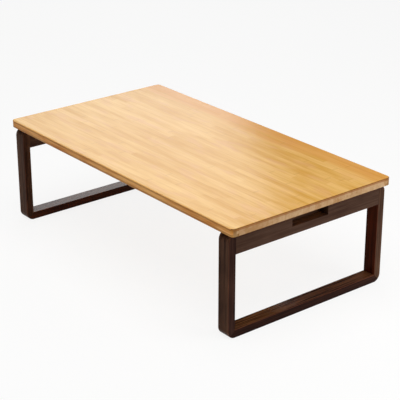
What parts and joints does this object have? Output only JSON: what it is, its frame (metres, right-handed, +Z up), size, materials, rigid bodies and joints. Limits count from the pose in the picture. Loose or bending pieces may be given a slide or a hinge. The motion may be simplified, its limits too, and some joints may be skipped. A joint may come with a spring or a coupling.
{
  "type": "folding low table",
  "caption": "Low rectangular bamboo table on dark loop-shaped end frames that fold in flat under the top",
  "frame": {"origin": "on the floor under the middle of the table top", "axes": "+X along the table towards the right frame, +Y across it towards the rear side, +Z up"},
  "size_m": [0.9, 0.482, 0.274],
  "materials": {
    "natural_bamboo": "glued strips of natural bamboo, sanded, clear satin lacquer",
    "edge_bamboo": "solid bamboo strip, clear satin lacquer",
    "stained_bamboo": "bamboo stained dark walnut, semi-gloss lacquer",
    "beech_dowel": "unfinished beech",
    "zinc_plated_steel": "pressed sheet steel, zinc plated",
    "bright_rivet_steel": "plain steel rivet, bright",
    "blued_spring_steel": "hardened spring steel, blued",
    "screw_steel": "steel wood screw, yellow passivated"
  },
  "bodies": {
    "table_top": {"core_panel": "natural_bamboo", "front_edge_strip": "edge_bamboo", "rear_edge_strip": "edge_bamboo", "right_front_top_plate": "zinc_plated_steel", "right_rear_top_plate": "zinc_plated_steel", "left_front_top_plate": "zinc_plated_steel", "left_rear_top_plate": "zinc_plated_steel", "right_front_pivot_rivet": "bright_rivet_steel", "right_rear_pivot_rivet": "bright_rivet_steel", "left_front_pivot_rivet": "bright_rivet_steel", "left_rear_pivot_rivet": "bright_rivet_steel", "right_front_spacer_sleeve": "zinc_plated_steel", "right_rear_spacer_sleeve": "zinc_plated_steel", "left_front_spacer_sleeve": "zinc_plated_steel", "left_rear_spacer_sleeve": "zinc_plated_steel", "right_front_catch_spring": "blued_spring_steel", "right_rear_catch_spring": "blued_spring_steel", "left_front_catch_spring": "blued_spring_steel", "left_rear_catch_spring": "blued_spring_steel", "catch_rivets": "bright_rivet_steel", "top_plate_screws": "screw_steel"},
    "right_frame": {"right_top_rail": "stained_bamboo", "right_front_leg": "stained_bamboo", "right_rear_leg": "stained_bamboo", "right_bottom_rail": "stained_bamboo", "right_dowels": "beech_dowel", "right_front_leg_plate": "zinc_plated_steel", "right_rear_leg_plate": "zinc_plated_steel", "right_leg_plate_screws": "screw_steel"},
    "left_frame": {"left_top_rail": "stained_bamboo", "left_front_leg": "stained_bamboo", "left_rear_leg": "stained_bamboo", "left_bottom_rail": "stained_bamboo", "left_dowels": "beech_dowel", "left_front_leg_plate": "zinc_plated_steel", "left_rear_leg_plate": "zinc_plated_steel", "left_leg_plate_screws": "screw_steel"}
  },
  "joints": [
    {"name": "right_fold", "type": "hinge", "parent": "table_top", "child": "right_frame", "pos_m": [0.3885, 0, 0.238], "axis": [0, 1, 0], "range_deg": [0, 90], "deforming": ["right_front_catch_spring", "right_rear_catch_spring"]},
    {"name": "left_fold", "type": "hinge", "parent": "table_top", "child": "left_frame", "pos_m": [-0.3885, 0, 0.238], "axis": [0, -1, 0], "range_deg": [0, 90], "deforming": ["left_front_catch_spring", "left_rear_catch_spring"]}
  ]
}
